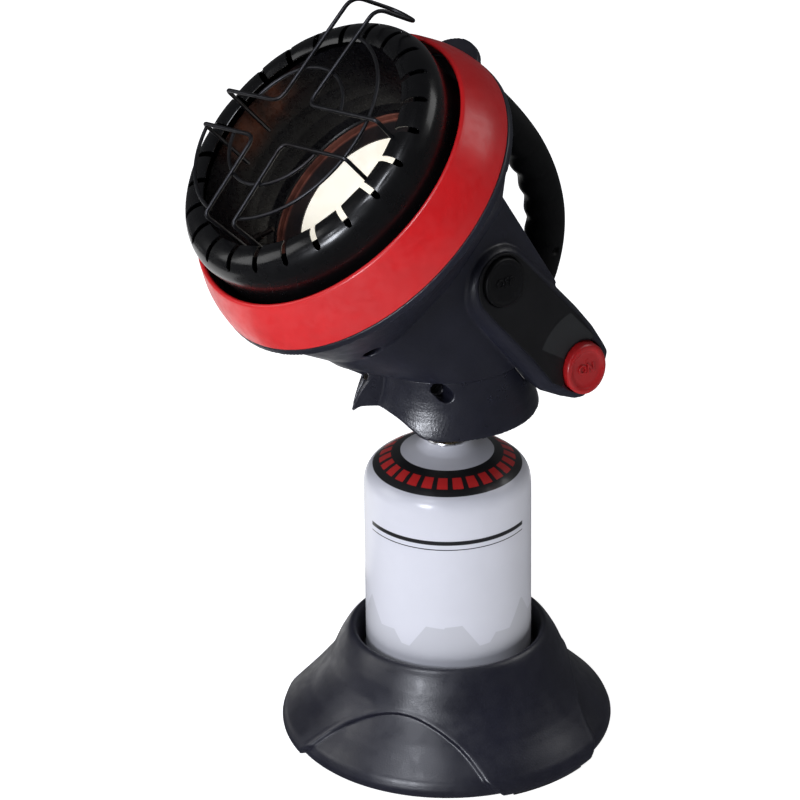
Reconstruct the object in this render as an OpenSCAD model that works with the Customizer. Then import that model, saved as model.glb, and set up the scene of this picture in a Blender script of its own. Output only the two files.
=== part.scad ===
// Portable radiant gas heater on a screw-on gas canister.
// World frame: Z up, origin at floor level under the middle of the part, the
// burner faces -Y and looks up.  The modules are drawn round the stand's axis
// and then moved by axis_y.  Head frame (see head()): x to the side, y up the
// face of the burner, z out along the burner axis.

/* [Canister] */
// Canister outside diameter
can_d = 110; // [109:0.5:111]
// Diameter of the threaded stub of the canister valve
stub_d = 11.04; // [11:0.01:11.08]
// Bore of the screw-on gas fitting
inlet_bore_d = 11.16; // [11.16:0.01:11.2]

/* [Stand] */
// Bore of the collar that holds the canister
socket_d = 114.4; // [113:0.2:115]
// Height of the shelf that carries the canister
shelf_z = 55; // [54.6:0.1:55]
// Height of the recessed arches in the stand's skirt
arch_h = 46; // [40:1:47]

/* [Head] */
// Tilt of the burner face back from vertical
tilt = 41; // [41:1:41]
// Number of slots in the front rim
slot_n = 24; // [12:1:24]
// Width of one slot
slot_w = 4.2; // [2:0.1:4.6]
// Outside radius of the red ring at its back edge
bezel_r = 113.4; // [113:0.2:113.6]
// Diameter of the guard wire
wire_d = 2.7; // [2:0.1:3]

/* [Controls] */
// Radius of the ON button
on_r = 16.4; // [15:0.1:16.6]
// Radius of the OFF button
off_r = 15.5; // [14:0.1:15.6]

/* [Hidden] */
$fn = 96;
axis_y = 30.5;
head_y = -62.6;
head_z = 396.2;
on_v = 15.6; on_w = -180;        // ON button axis in the head frame
off_v = 19.6; off_w = -85.6;      // OFF button axis in the head frame
side_x = 58;                   // side face of the control pod where it crosses v = 16
slope = 13.4;                  // lean of the pod's side faces about the head's z
wr = wire_d/2;

// ---------- helpers ----------
// Puts its children in the burner's own frame
module head() translate([0, head_y, head_z]) rotate([tilt, 0, 0]) children();
// Puts its children on an axis that runs out of the right side (+x) at v, w
module side_at(x, v, w) head() translate([x, v, w]) rotate([0, 90, 0]) children();
function unit(a) = a/norm(a);
function bez(a, b, c, t) = (1-t)*(1-t)*a + 2*t*(1-t)*b + t*t*c;
// Points of a path with each inner corner rounded by r, s steps a corner
function round_path(p, r, s) = [for (i = [0:len(p)-1])
  each (i == 0 || i == len(p)-1) ? [p[i]] :
  let (a = p[i] + unit(p[i-1]-p[i])*r[i], c = p[i] + unit(p[i+1]-p[i])*r[i])
  [for (k = [0:s]) bez(a, p[i], c, k/s)]];
function tangents(p) = [for (i = [0:len(p)-1])
  i == 0 ? unit(p[1]-p[0]) : i == len(p)-1 ? unit(p[i]-p[i-1]) :
  unit(unit(p[i]-p[i-1]) + unit(p[i+1]-p[i]))];
function normals(t, i, n) = i >= len(t) ? [] :
  let (m = unit(n - (n*t[i])*t[i])) concat([m], normals(t, i+1, m));
// Rings of k points round a path; rx along the normal, ry across it
function tube_rings(p, rx, ry, k, n0) = let (t = tangents(p), n = normals(t, 0, n0))
  [for (i = [0:len(p)-1]) let (b = cross(t[i], n[i]))
    [for (j = [0:k-1]) p[i] + rx[i]*cos(360*j/k)*n[i] + ry[i]*sin(360*j/k)*b]];
function flat(v, n) = [for (i = [0:n-1]) v];
// Skins a list of equal rings into one closed solid
module loft(rings) {
  n = len(rings); m = len(rings[0]);
  polyhedron(points = [for (r = rings) each r], faces = concat(
    [for (i = [0:n-2]) for (j = [0:m-1]) let (a = i*m+j, b = i*m+(j+1)%m,
      c = (i+1)*m+(j+1)%m, d = (i+1)*m+j) each [[a, c, b], [a, d, c]]],
    [[for (j = [0:m-1]) j]], [[for (j = [m-1:-1:0]) (n-1)*m+j]]), convexity = 10);
}
module wire(p, r, k = 8, n0 = [0.1, 0.2, 1]) loft(tube_rings(p, flat(r, len(p)), flat(r, len(p)), k, n0));
// Smooth curve through a list of points (Catmull-Rom), s steps a span
function cr(a, b, c, d, t) = 0.5*((2*b) + (c-a)*t + (2*a-5*b+4*c-d)*t*t + (3*b-a-3*c+d)*t*t*t);
function smooth(p, s) = concat([for (i = [0:len(p)-2]) for (k = [0:s-1])
  cr(p[max(i-1, 0)], p[i], p[i+1], p[min(i+2, len(p)-1)], k/s)], [p[len(p)-1]]);
module ring(r1, r2, h) difference() { cylinder(r = r2, h = h); translate([0, 0, -1]) cylinder(r = r1, h = h+2); }

// ---------- stand ----------
stand_out = [[109.5, 1.2], [111.5, 3], [112.2, 6.5], [110, 12], [104, 18],
  [97.7, 24], [92, 30], [87.3, 36], [82.8, 42], [79.1, 48], [76.5, 54],
  [74, 60], [70.5, 66], [67, 70], [64.5, 72.4], [62, 73.8], [60, 73.6],
  [58.2, 72.2], [socket_d/2, 70]];
stand_in = [[60.2, 52], [60.2, 68], [62, 70.2], [65.5, 66.8], [70, 60],
  [72.4, 54], [74, 48], [76.8, 42], [81.3, 36], [86, 30], [91.7, 24],
  [98, 18], [103.2, 12], [105.6, 6.5], [103.6, 1.2]];
// The recessed face inside an arch, 3.2 mm behind the skirt
arch_face = [[104.9, 0], [107.2, 3], [108.9, 6.5], [106.8, 12], [100.8, 18],
  [94.5, 24], [88.8, 30], [84.1, 36], [79.6, 42], [76, 48], [76, 60],
  [125, 60], [125, 0]];
module arch_prism() rotate([90, 0, 90]) linear_extrude(130)
  polygon(concat([for (s = [-40:4:40]) [100*sin(s)*(1.12 - 0.32*(1 - abs(s)/40)),
    arch_h - arch_h/1797*s*s]], [[76, -5], [-76, -5]]));
module base_stand() color([0.11, 0.115, 0.14]) {
  difference() {
    rotate_extrude($fn = 144) polygon(concat(stand_out, [[socket_d/2, shelf_z],
      [0, shelf_z], [0, 52]], stand_in));
    for (a = [-52, 68, 188]) rotate([0, 0, a]) intersection() {
      arch_prism();
      rotate_extrude($fn = 144) polygon(arch_face);
    }
    for (a = [8, 128, 248]) rotate([0, 0, a]) translate([30, 0, 50]) cylinder(r = 6, h = 8);
  }
  // stiffening ribs under the dish
  for (a = [8, 128, 248]) rotate([0, 0, a]) intersection() {
    rotate([90, 0, 0]) translate([0, 0, -1.25]) linear_extrude(2.5)
      polygon([[56, 52.5], [60.5, 69], [62, 70.6], [70.2, 60.4], [74.3, 48], [86.4, 30], [98.5, 18], [103.6, 12], [96, 8], [70, 30]]);
    translate([50, -5, 0]) cube([60, 10, 80]);
  }
}
module foot_pads() color([0.05, 0.05, 0.05]) for (a = [8, 128, 248])
  rotate([0, 0, a-15]) rotate_extrude(angle = 30, $fn = 144) translate([104.2, 0]) square([5, 1.2]);

// ---------- canister ----------
can_r = can_d/2;
can_out = [[0, 66], [20, 64], [38, 59], [45, 56.2], [48, 55.2], [51, 55],
  [53.6, 56], [54.8, 58], [can_r, 61], [can_r, 179.5], [54.6, 183.5],
  [53.6, 187], [52, 189.8], [50, 191.9], [46, 195], [41, 198.2], [36.5, 200.4], [32, 202], [26, 203.8],
  [20, 206], [16.6, 208.6], [14.6, 210.8], [14.2, 211.6], [13.2, 211.6]];
can_in = [[13.2, 210.9], [15.8, 208.2], [19.6, 205.3], [25.8, 203],
  [31.7, 201.2], [36.1, 199.7], [40.6, 197.5], [45.6, 194.3], [49.4, 191.4],
  [51.4, 189.2], [52.9, 186.6], [53.8, 183.4], [can_r-0.8, 179.5], [can_r-0.8, 61.4], [54, 58.6], [52.9, 56.9],
  [51, 56], [48.4, 56.2], [45.3, 57], [38.3, 59.8], [20, 64.8], [0, 66.8]];
module canister_shell() color([0.87, 0.87, 0.92]) rotate_extrude($fn = 144) polygon(concat(can_out, can_in));
module canister_valve() color([0.78, 0.72, 0.55]) difference() {
  union() {
    rotate_extrude() polygon([[0, 207], [9, 207], [10.5, 208], [11.2, 210.4],
      [12.6, 211.6], [14.1, 211.6], [14.5, 212.4], [14.1, 213.2], [13, 213.5],
      [11.6, 213.2], [10, 211.4], [8.8, 209.4], [stub_d/2, 209], [0, 209]]);
    translate([0, 0, 208]) cylinder(r = stub_d/2, h = 14);
  }
  translate([0, 0, 214]) cylinder(r = 2.4, h = 10);
}

// ---------- gas train ----------
module inlet_seal() color([0.06, 0.06, 0.06]) translate([0, 0, 222.4]) ring(2.4, 5.2, 1.8);
module inlet_adapter() color([0.80, 0.66, 0.36]) difference() {
  union() {
    translate([0, 0, 214.4]) cylinder(r = 12.5, h = 9.6, $fn = 6);
    translate([0, 0, 224]) cylinder(r = 9.5, h = 22);
  }
  translate([0, 0, 213]) cylinder(r = inlet_bore_d/2, h = 11.2);
  translate([0, 0, 220]) cylinder(r = 1.6, h = 30);
}
pipe_z = 263;
module regulator_body() color([0.62, 0.63, 0.64]) {
  translate([0, 0, 246]) cylinder(r = 17.5, h = 19);
  translate([0, 0, 265]) cylinder(r = 22, h = 5);
  translate([0, 0, 270]) cylinder(r = 16.5, h = 8);
  translate([0, 0, 278]) cylinder(r1 = 16, r2 = 12, h = 8);
  for (i = [0:5]) rotate([0, 0, 60*i]) translate([19.4, 0, 270]) cylinder(r = 1.8, h = 1.8);
  translate([0, 14, pipe_z]) rotate([-90, 0, 0]) cylinder(r = 5, h = 12);
}
module gas_pipe() color([0.75, 0.45, 0.28]) translate([0, 26, pipe_z]) rotate([-90, 0, 0])
  difference() { cylinder(r = 2.6, h = 34); translate([0, 0, -1]) cylinder(r = 1.6, h = 40); }
// Head-frame block behind the ON button
module valve_body() color([0.66, 0.66, 0.64]) difference() {
  union() {
    head() translate([-12, on_v-10, on_w-8]) cube([32, 20, 16]);
    translate([0, 57, pipe_z]) rotate([-90, 0, 0]) cylinder(r = 5, h = 10);
    head() translate([4, on_v-10, on_w+4]) cylinder(r = 4.5, h = 10);
  }
  side_at(-7.5, on_v, on_w) cylinder(r = 2.56, h = 30);
  translate([0, 50, pipe_z]) rotate([-90, 0, 0]) cylinder(r = 2.65, h = 10.2);
}
module valve_stem() color([0.78, 0.68, 0.40]) side_at(-2, on_v, on_w) cylinder(r = 2.5, h = 58);
module jet_pipe() color([0.75, 0.45, 0.28]) head() wire(round_path([[4, on_v-10, on_w+14.2],
  [4, on_v-10, -140], [0, 0, -118], [0, 0, -90]], [0, 8, 8, 0], 5), 2.2, 10);
module gas_jet() color([0.80, 0.66, 0.36]) head() {
  translate([0, 0, -90]) cylinder(r = 5, h = 6, $fn = 6);
  translate([0, 0, -84]) cylinder(r = 3, h = 5);
}
module mixing_tube() color([0.60, 0.60, 0.60]) head() difference() {
  rotate_extrude() polygon([[7.4, -76], [11, -76], [11, -72], [8.6, -64], [8.6, -56],
    [14, -30], [18, -27.2], [18, -26], [12.8, -26], [12.8, -29.6], [7.4, -56]]);
  for (i = [0:3]) rotate([0, 0, 90*i + 45]) translate([0, 0, -74]) rotate([90, 0, 0]) cylinder(r = 2, h = 20);
}

// ---------- burner ----------
module burner_pan() color([0.55, 0.55, 0.56]) head() rotate_extrude()
  polygon([[13, -26], [30, -26], [57, -20], [57, -8.2], [62, -8.2], [62, -7.2],
    [56, -7.2], [56, -19.2], [30, -24.8], [13, -24.8]]);
module tile_gasket() color([0.80, 0.78, 0.72]) head() translate([0, 0, -13]) ring(51.2, 55.8, 5);
module burner_tile() color([0.95, 0.91, 0.80]) head() difference() {
  translate([0, 0, -19]) cylinder(r = 51, h = 12);
  translate([0, 0, -20]) cylinder(r = 47, h = 8);
}
module burner_clamp_ring() color([0.30, 0.16, 0.14]) head() rotate_extrude()
  polygon([[50, -7], [66, -7], [66, -2.6], [64.6, -2.6], [64.6, -6], [50, -6]]);
// Two holes through the dish wall for the spark electrode and the flame sensor
probe = [-58, -122];
module radial(a, w) rotate([0, 0, a]) translate([0, 0, w]) rotate([0, 90, 0]) children();
module reflector_dish() color([0.16, 0.16, 0.18]) head() difference() {
  rotate_extrude($fn = 144) polygon([[66.2, -2.2], [66.4, -1.4], [67, -0.6], [69, 4], [71.8, 14],
    [74.6, 26], [77, 38], [78.6, 48], [79.4, 53], [80.4, 53], [79.6, 47.8],
    [78, 37.8], [75.6, 25.8], [72.8, 13.8], [70.2, 4.4], [68.4, -1.2], [79, -1.2], [79, -2.4],
    [66.2, -2.4]]);
  for (a = probe) radial(a, 12) translate([0, 0, 60]) cylinder(r = 2.7, h = 20);
}
module mounting_plate() color([0.20, 0.20, 0.22]) head() translate([0, 0, -3.8]) difference() {
  cylinder(r = 108, h = 1.2);
  translate([0, 0, -1]) cylinder(r = 66.1, h = 4);
  for (i = [0:7]) rotate([0, 0, 45*i + 20]) translate([91, 0, -1]) cylinder(r = 1.6, h = 4, $fn = 24);
}
// Black front rim: wall, rolled edge and inward tabs
rim_c = 82.5; rim_w = 48; rim_r = 14;
module front_crown() color([0.04, 0.04, 0.045]) head() difference() {
  rotate_extrude($fn = 144) polygon(concat(
    [[88, -2.6], [94.4, -2.6], [95, -1.8], [95, 30], [95.8, 40]],
    [for (a = [0:9:117]) [rim_c + rim_r*cos(a), rim_w + rim_r*sin(a)]],
    [for (a = [117:-9:0]) [rim_c + (rim_r-1)*cos(a), rim_w + (rim_r-1)*sin(a)]],
    [[94.8, 40], [94, 30], [94, -1.4], [88, -1.4]]));
  for (i = [0:slot_n-1]) rotate([0, 0, 360/slot_n*i + 0.6]) {
    translate([70, -slot_w/2, 46]) cube([20.4, slot_w, 26]);
    translate([90.4, 0, 46]) cylinder(r = slot_w/2, h = 26, $fn = 24);
  }
  for (i = [0:7]) rotate([0, 0, 45*i + 20]) translate([91, 0, -4]) cylinder(r = 1.6, h = 5, $fn = 24);
}
module igniter_electrode() color([0.90, 0.88, 0.84]) head() {
  radial(probe[0], 12) { translate([0, 0, 65]) cylinder(r = 2.6, h = 20); translate([0, 0, 84]) cylinder(r = 0.8, h = 4); }
  rotate([0, 0, probe[0]]) wire(round_path([[65.4, 0, 12], [60, 0, 12], [54, 0, 2]], [0, 3, 0], 4), 0.8, 8);
}
module thermocouple() color([0.55, 0.50, 0.42]) head() radial(probe[1], 12) {
  translate([0, 0, 58]) cylinder(r = 1.6, h = 10);
  translate([0, 0, 67]) cylinder(r = 2.6, h = 19);
}

// ---------- guard ----------
gz = 79.8;   // height of the crossing wires
module guard_cross_wires() color([0.17, 0.17, 0.18]) head() {
  wire(round_path([[-71, -2.6, 36], [-72, -2.4, gz], [-19.6, 11.2, gz], [-34.4, 91.5, gz],
    [-30.4, 104.2, 49.3], [-4.4, 104.9, 49.3], [-6.2, 93, gz], [6.4, 19.4, gz],
    [71, 35.6, gz], [68.4, 34.6, 36]], [0, 4, 9, 9, 11, 11, 8, 8, 4, 0], 6), wr);
  wire(round_path([[-64.6, -27.4, 36], [-67.2, -28, gz], [-15.6, -15.4, gz], [-0.6, -73, gz],
    [-0.6, -70.6, 36]], [0, 4, 8, 4, 0], 6), wr);
  wire(round_path([[70.6, 5.6, 36], [72.4, 5.8, gz], [12.6, -9, gz], [28.2, -67.4, gz],
    [27, -65.4, 36]], [0, 4, 7, 4, 0], 6), wr);
}
module arc(r, a0, a1, z) rotate([0, 0, a0]) rotate_extrude(angle = a1-a0, $fn = 96)
  translate([r, z]) circle(r = wr*0.9, $fn = 16);
module guard_inner_ring() color([0.17, 0.17, 0.18]) head() {
  translate([-0.6, 1.1, 0]) arc(43.7, 36, 173, gz-1.75*wr);
  translate([-0.6, 1.1, 0]) arc(43.7, 210, 354, gz-1.75*wr);
}
module guard_outer_ring() color([0.17, 0.17, 0.18]) head() {
  translate([-2, 2, 0]) arc(70.2, -66, 92, gz-1.75*wr);
  translate([-2, 2, 0]) arc(70.2, 204, 269, gz-1.75*wr);
}

// ---------- casing ----------
module bezel_ring() color([0.75, 0.07, 0.08]) head() rotate_extrude($fn = 144)
  polygon([[bezel_r, 0], [bezel_r, 1.5], [112.9, 5], [112.3, 9], [111.4, 13], [110.1, 17.5], [108.3, 22],
    [106, 27], [104.4, 30.6], [103.3, 32.5], [101.9, 33.2], [100.7, 32.8], [100.1, 31.4], [101.2, 30.2],
    [103.2, 26], [105.5, 21], [107.3, 16], [108.6, 11], [109.5, 6], [110, 1.4], [110, 0]]);
// Outline of the control pod seen from the side, drawn i mm smaller
module pod_outline(i) polygon(concat([for (a = [180:-12:0]) [18.2+(27-i)*cos(a), -89+(25.7-i*0.6)*sin(a)]],
  [[45-i, -104], [44.4-i, -130], [44.4-i, -154], [43-i, -172], [39.6-i*0.8, -187.5+i*0.3], [37.6-i*0.8, -195+i*0.6],
  [30-i*0.3, -199+i], [14, -200.5+i], [2+i*0.4, -199.5+i], [-1.5+i*0.6, -195.5+i*0.8], [-7+i*0.8, -184+i*0.5],
  [-13.4+i, -167], [-10.6+i, -141], [-9.4+i, -100]]));
// Frame on the right side face: x out of the face, y up it
module on_face() translate([side_x, 16, 0]) rotate([0, 0, slope]) translate([0, -16, 0]) children();
module pod_plate(d, i) on_face() translate([-d-0.4, 0, 0]) rotate([90, 0, 90]) linear_extrude(0.4) pod_outline(i);
module pod_body(i) hull() for (m = [0, 1]) mirror([m, 0, 0]) {
  pod_plate(8+i, i);
  pod_plate(3+i, i+2);
  pod_plate(i, i+5);
}
// Everything up to h mm above the side face
module under_face(h) head() on_face() translate([h-100, -60, -260]) cube([100, 140, 260]);
// Cross-section of the casing just behind the burner, shrunk by i
module waist(i) {
  translate([0, -36, -56]) cylinder(r = 55-i, h = 1.5, $fn = 64);
  translate([0, -10, -56]) cylinder(r = 57-i, h = 1.5, $fn = 64);
  translate([i-46, 30, -56]) cube([92-2*i, 23-i, 1.5]);
}
neck_z = 276;   // where the casing sits on the hood
neck_r = 53.6;
// Ramp down the casing's back from the bowl to the pod, shrunk by i
module ramp_back(i) translate([-46+i, 0, 0]) rotate([90, 0, 90]) linear_extrude(92-2*i)
  polygon([[60.4-i, -45-i], [44.2-i, -129+i], [34, -129+i], [34, -45-i]]);
module bowl(i) hull() {
  translate([0, 0, -8.5]) cylinder(r = 109-i, h = 1.5, $fn = 64);
  waist(i);
}
// The whole casing body, shrunk by i
module casing(i) {
  head() bowl(i);
  head() ramp_back(i);
  hull() {
    head() translate([0, 0, 0.9]) waist(i+0.35);
    head() translate([0, -40, -70]) cylinder(r = 48-i, h = 1, $fn = 48);
    translate([0, 0, neck_z]) cylinder(r = neck_r-i, h = 3, $fn = 64);
  }
  head() pod_body(i);
}
// Keel down the front of the neck, above the hood's beak
module keel() rotate([90, 0, 90]) translate([0, 0, -8]) linear_extrude(16)
  polygon([[-50, neck_z], [-66.4, neck_z], [-68.6, 277.6], [-74, 281], [-82, 286], [-80, 292], [-50, 283]]);
// Screw axes that run across the casing
screw_vw = [[-68, -51.7], [29, -119]];
module screw_sites() for (q = screw_vw) side_at(0, q[0], q[1]) children();
// Keeps a post inside the wall it grows from
module post_room() {
  head() translate([0, -36, -70]) cylinder(r = 53.8, h = 30);
  head() pod_body(1.2);
}
module pipe_hole() translate([0, 10, pipe_z]) rotate([-90, 0, 0]) cylinder(r = 6.5, h = 48);
module shell_half() intersection() {
  difference() {
    union() {
      casing(0);
      keel();
      head() translate([0, 0, -8]) cylinder(r = 109, h = 2.5);
      head() translate([0, 0, -6]) cylinder(r = 113.8, h = 5.6);
    }
    casing(2.8);
    head() translate([0, 0, -9.5]) cylinder(r = 106.2, h = 5.7);
    head() translate([0, 0, -3.8]) cylinder(r = 108.4, h = 8);
    pipe_hole();
  }
  translate([0.05, -400, 0]) cube([400, 800, 800]);
}
module housing_right() color([0.12, 0.125, 0.155]) difference() {
  union() {
    shell_half();
    intersection() {
      screw_sites() {
        translate([0, 0, 0.05]) cylinder(r = 4.2, h = 31);
        translate([0, 0, 30.4]) cylinder(r = 7.2, h = 30);
      }
      post_room();
    }
  }
  side_at(30, on_v, on_w) cylinder(r = 17.1, h = 50);
  side_at(30, off_v, off_w) cylinder(r = 16.2, h = 50);
  screw_sites() { translate([0, 0, -1]) cylinder(r = 1.75, h = 100); translate([0, 0, 33]) cylinder(r = 5.5, h = 90); }
}
// Lug on the upper left of the flange
module lug() intersection() {
  head() difference() {
    rotate([0, 0, 103]) translate([93.6, 0, -5.9]) cylinder(r = 30.7, h = 5.4);
    translate([0, 0, -7]) cylinder(r = 110.4, h = 8);
  }
  translate([-200.05, -200, 200]) cube([200, 400, 400]);
}
module housing_left() color([0.12, 0.125, 0.155]) difference() {
  union() {
    mirror([1, 0, 0]) shell_half();
    lug();
    intersection() {
      screw_sites() translate([0, 0, -60]) cylinder(r = 4.2, h = 59.95);
      post_room();
    }
  }
  screw_sites() translate([0, 0, -14]) cylinder(r = 1.65, h = 20);
}
// Hood round the screw fitting: a flared bell with a beak at the front
hood_cut = [[-90, 240], [-72, 240], [-71, 246], [-70.4, 247.5], [-67.4, 249.4], [-64.6, 250.6], [-60, 251.1], [-53.8, 251.1], [-52.6, 250.3], [-49.8, 248.1], [-46.8, 244.4],
  [-43.6, 240.4], [-41, 238.6], [-38, 238], [90, 238], [90, 200], [-90, 200]];
bell = [[51.4, 275.8], [51.8, 270], [52.8, 262], [54.1, 256], [56.3, 249], [58.1, 244.7], [59.3, 241], [60, 238], [60.4, 234]];
hood_v = -57.2; hood_w = -117.6;   // axis of the screw across the hood
// The beak is its plan (half of it here) kept inside its side profile
beak_plan = [[8.6, -47], [8.6, -53], [6.6, -57.4], [4.4, -61.6], [2.6, -65.4], [1.2, -69], [0.5, -70.4]];
module beak() intersection() {
  translate([0, 0, 240]) linear_extrude(60) polygon(concat(beak_plan, [for (k = [len(beak_plan)-1:-1:0]) [-beak_plan[k][0], beak_plan[k][1]]]));
  rotate([90, 0, 90]) translate([0, 0, -12]) linear_extrude(24) polygon([[-47, 275.8], [-60.6, 275.8], [-59.8, 272],
    [-60.2, 269.5], [-62.3, 266.5], [-65.1, 262], [-67.4, 257], [-69, 252.6], [-70.3, 247.8], [-70, 247.7], [-67.4, 249.6], [-64.6, 250.8], [-60, 251.2], [-47, 251]]);
}
module beak_room() translate([0, 0, 240]) linear_extrude(33.6)
  polygon([[6.4, -46], [6.4, -52.6], [4.4, -56.6], [2.8, -60], [-2.8, -60], [-4.4, -56.6], [-6.4, -52.6], [-6.4, -46]]);
module hood_shell() difference() {
  union() {
    rotate_extrude($fn = 96) polygon(concat(bell, [[0, 234], [0, 275.8]]));
    beak();
  }
  rotate_extrude($fn = 96) polygon(concat([[49, 273.8]], [for (k = [1:len(bell)-1]) [bell[k][0]-2.4, bell[k][1]]], [[58, 230], [0, 230], [0, 273.8]]));
  translate([0, 0, 270]) cylinder(r = 18.4, h = 10);
  beak_room();
  rotate([90, 0, 90]) translate([0, 0, -90]) linear_extrude(180) polygon(hood_cut);
  head() pod_body(-0.35);
}
// Oblong r mm round, along the casing, on the hood screw's axis
module oblong(r, h) {
  translate([-1.2, 0, 0]) cylinder(r = r, h = h);
  translate([4, 0, 0]) cylinder(r = r, h = h);
  translate([-1.2, -r, 0]) cube([5.2, 2*r, h]);
}
module hood_right() color([0.12, 0.125, 0.155]) difference() {
  union() {
    intersection() { hood_shell(); translate([0.05, -90, 200]) cube([90, 180, 90]); }
    intersection() {
      side_at(0.05, hood_v, hood_w) union() { cylinder(r = 4.2, h = 31); translate([0, 0, 30.4]) oblong(6.2, 20); }
      cylinder(r = 50.2, h = 400);
    }
  }
  side_at(33, hood_v, hood_w) oblong(4.4, 40);
  side_at(-1, hood_v, hood_w) cylinder(r = 1.75, h = 60);
}
module hood_left() color([0.12, 0.125, 0.155]) difference() {
  union() {
    intersection() { hood_shell(); translate([-90.05, -90, 200]) cube([90, 180, 90]); }
    intersection() {
      side_at(-60, hood_v, hood_w) cylinder(r = 4.2, h = 59.95);
      cylinder(r = 50.2, h = 400);
    }
  }
  side_at(-14, hood_v, hood_w) cylinder(r = 1.65, h = 20);
}
module control_panel() color([0.06, 0.06, 0.07]) difference() {
  head() on_face() rotate([90, 0, 90]) linear_extrude(1.2) polygon(concat(
    [for (a = [180:-12:0]) [18.2+20.9*cos(a), -89+22.2*sin(a)]],
    [[38.9, -104], [38.3, -130], [38.3, -154], [37, -168], [36, -174], [-4.6, -174], [-6.8, -166], [-4.2, -141], [-3.2, -100]]));
  side_at(40, on_v, on_w) cylinder(r = 17, h = 40);
  side_at(40, off_v, off_w) cylinder(r = 16.1, h = 40);
}
module screw() {
  translate([0, 0, -13]) cylinder(r = 1.6, h = 46.4);
  translate([0, 0, 33.05]) difference() { cylinder(r = 4.2, h = 2.6); translate([-0.5, -2.8, 1.2]) cube([1, 5.6, 3]); }
}
module housing_screws() color([0.10, 0.10, 0.10]) {
  screw_sites() screw();
  side_at(0, hood_v, hood_w) screw();
}
module plate_screws() color([0.45, 0.45, 0.47]) head() for (i = [0:7]) rotate([0, 0, 45*i + 20]) translate([91, 0, 0]) {
  translate([0, 0, -10]) cylinder(r = 1.5, h = 8.6, $fn = 24);
  translate([0, 0, -1.4]) cylinder(r = 2.8, h = 1.6, $fn = 24);
}

// ---------- handle ----------
grip_path = smooth([[0, 98, -16], [0, 99, -30], [0, 98.4, -52], [0, 95.4, -74.6], [0, 88.6, -96.9],
  [0, 78, -117], [0, 64.4, -132.6], [0, 49, -144], [0, 36, -150], [0, 24, -153]], 5);
gn = len(grip_path);
g0 = 2; g1 = gn - 3;   // first and last ring of the rubber grip
// Round bar along the path, leaving out the rings listed in skip
module core(r, skip) { p = [for (i = [0:gn-1]) if (len(search(i, skip)) == 0) grip_path[i]];
  loft(tube_rings(p, flat(r, len(p)), flat(r, len(p)), 16, [0, 1, 0])); }
module handle_loop() color([0.05, 0.05, 0.055]) head() difference() {
  union() {
    core(9, []);
    translate([0, 98.2, -20.6]) cylinder(r = 12.8, h = 20);
  }
  translate([0, 0, -8.2]) cylinder(r = 109.4, h = 40);
  translate([0, 0, -6.1]) cylinder(r = 200, h = 40);
  bowl(-0.06);
  pod_body(-0.1);
}
// Finger waves on the inner side, fading at both ends
function scallop(i) = i < 8 || i > 33 ? 1 : cos(360*(i-8)/25*6);
module handle_grip() color([0.03, 0.03, 0.03]) head() difference() {
  loft([for (i = [g0:g1]) let (k = scallop(i), t = tangents(grip_path), n = normals(t, 0, [0, 1, 0]))
    [for (j = [0:19]) let (a = 18*j, c = cos(a)) grip_path[i]
      + (c < 0 ? 12.2 + 1.1*k : 13.2)*c*n[i] + 13*sin(a)*cross(t[i], n[i])]]);
  core(9.1, [g0, g1]);
  translate([0, 98.2, -20.7]) cylinder(r = 13.6, h = 20);
  bowl(-0.06);
  pod_body(-0.1);
  translate([8, 61.1, -138.3]) rotate([0, 90, 0]) cylinder(r = 2.1, h = 12, $fn = 24);
}

// ---------- controls ----------
module on_button() color([0.72, 0.06, 0.08]) difference() {
  intersection() {
    side_at(44, on_v, on_w) cylinder(r = on_r, h = 30);
    under_face(6.4);
  }
  side_at(43, on_v, on_w) cylinder(r = 11, h = 13);
}
module off_button() color([0.04, 0.04, 0.045]) difference() {
  union() {
    side_at(46.4, off_v, off_w) cylinder(r = 16.9, h = 2.2);
    intersection() {
      side_at(48, off_v, off_w) cylinder(r = off_r, h = 30);
      under_face(4.2);
    }
  }
  side_at(45, off_v, off_w) cylinder(r = 12, h = 12);
}
function helix(r, z0, z1, n, s) = [for (k = [0:n*s]) [r*cos(360*k/s), r*sin(360*k/s), z0 + (z1-z0)*k/(n*s)]];
module on_spring() color([0.70, 0.71, 0.73]) side_at(0, on_v, on_w) wire(helix(6.6, 21, 55.3, 8, 12), 0.6, 6, [1, 0, 0]);
module off_spring() color([0.70, 0.71, 0.73]) side_at(0, off_v, off_w) wire(helix(7.6, 25, 56.3, 7, 12), 0.6, 6, [1, 0, 0]);
module piezo_igniter() color([0.82, 0.80, 0.74]) side_at(0, on_v, on_w + 14) difference() {
  translate([0, 0, -15.5]) cylinder(r = 5.2, h = 37.5);
  translate([0, 0, 4]) cylinder(r = 2.06, h = 20);
}
module piezo_plunger() color([0.30, 0.30, 0.32]) side_at(0, on_v, on_w + 14) translate([0, 0, 10]) cylinder(r = 2, h = 34);
module cutoff_switch() color([0.15, 0.15, 0.30]) side_at(0, off_v, off_w) {
  translate([-10, -8, 0]) cube([20, 16, 24]);
  translate([-5, -8, -6]) cube([1, 4, 6]);
  translate([4, -8, -6]) cube([1, 4, 6]);
}
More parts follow.
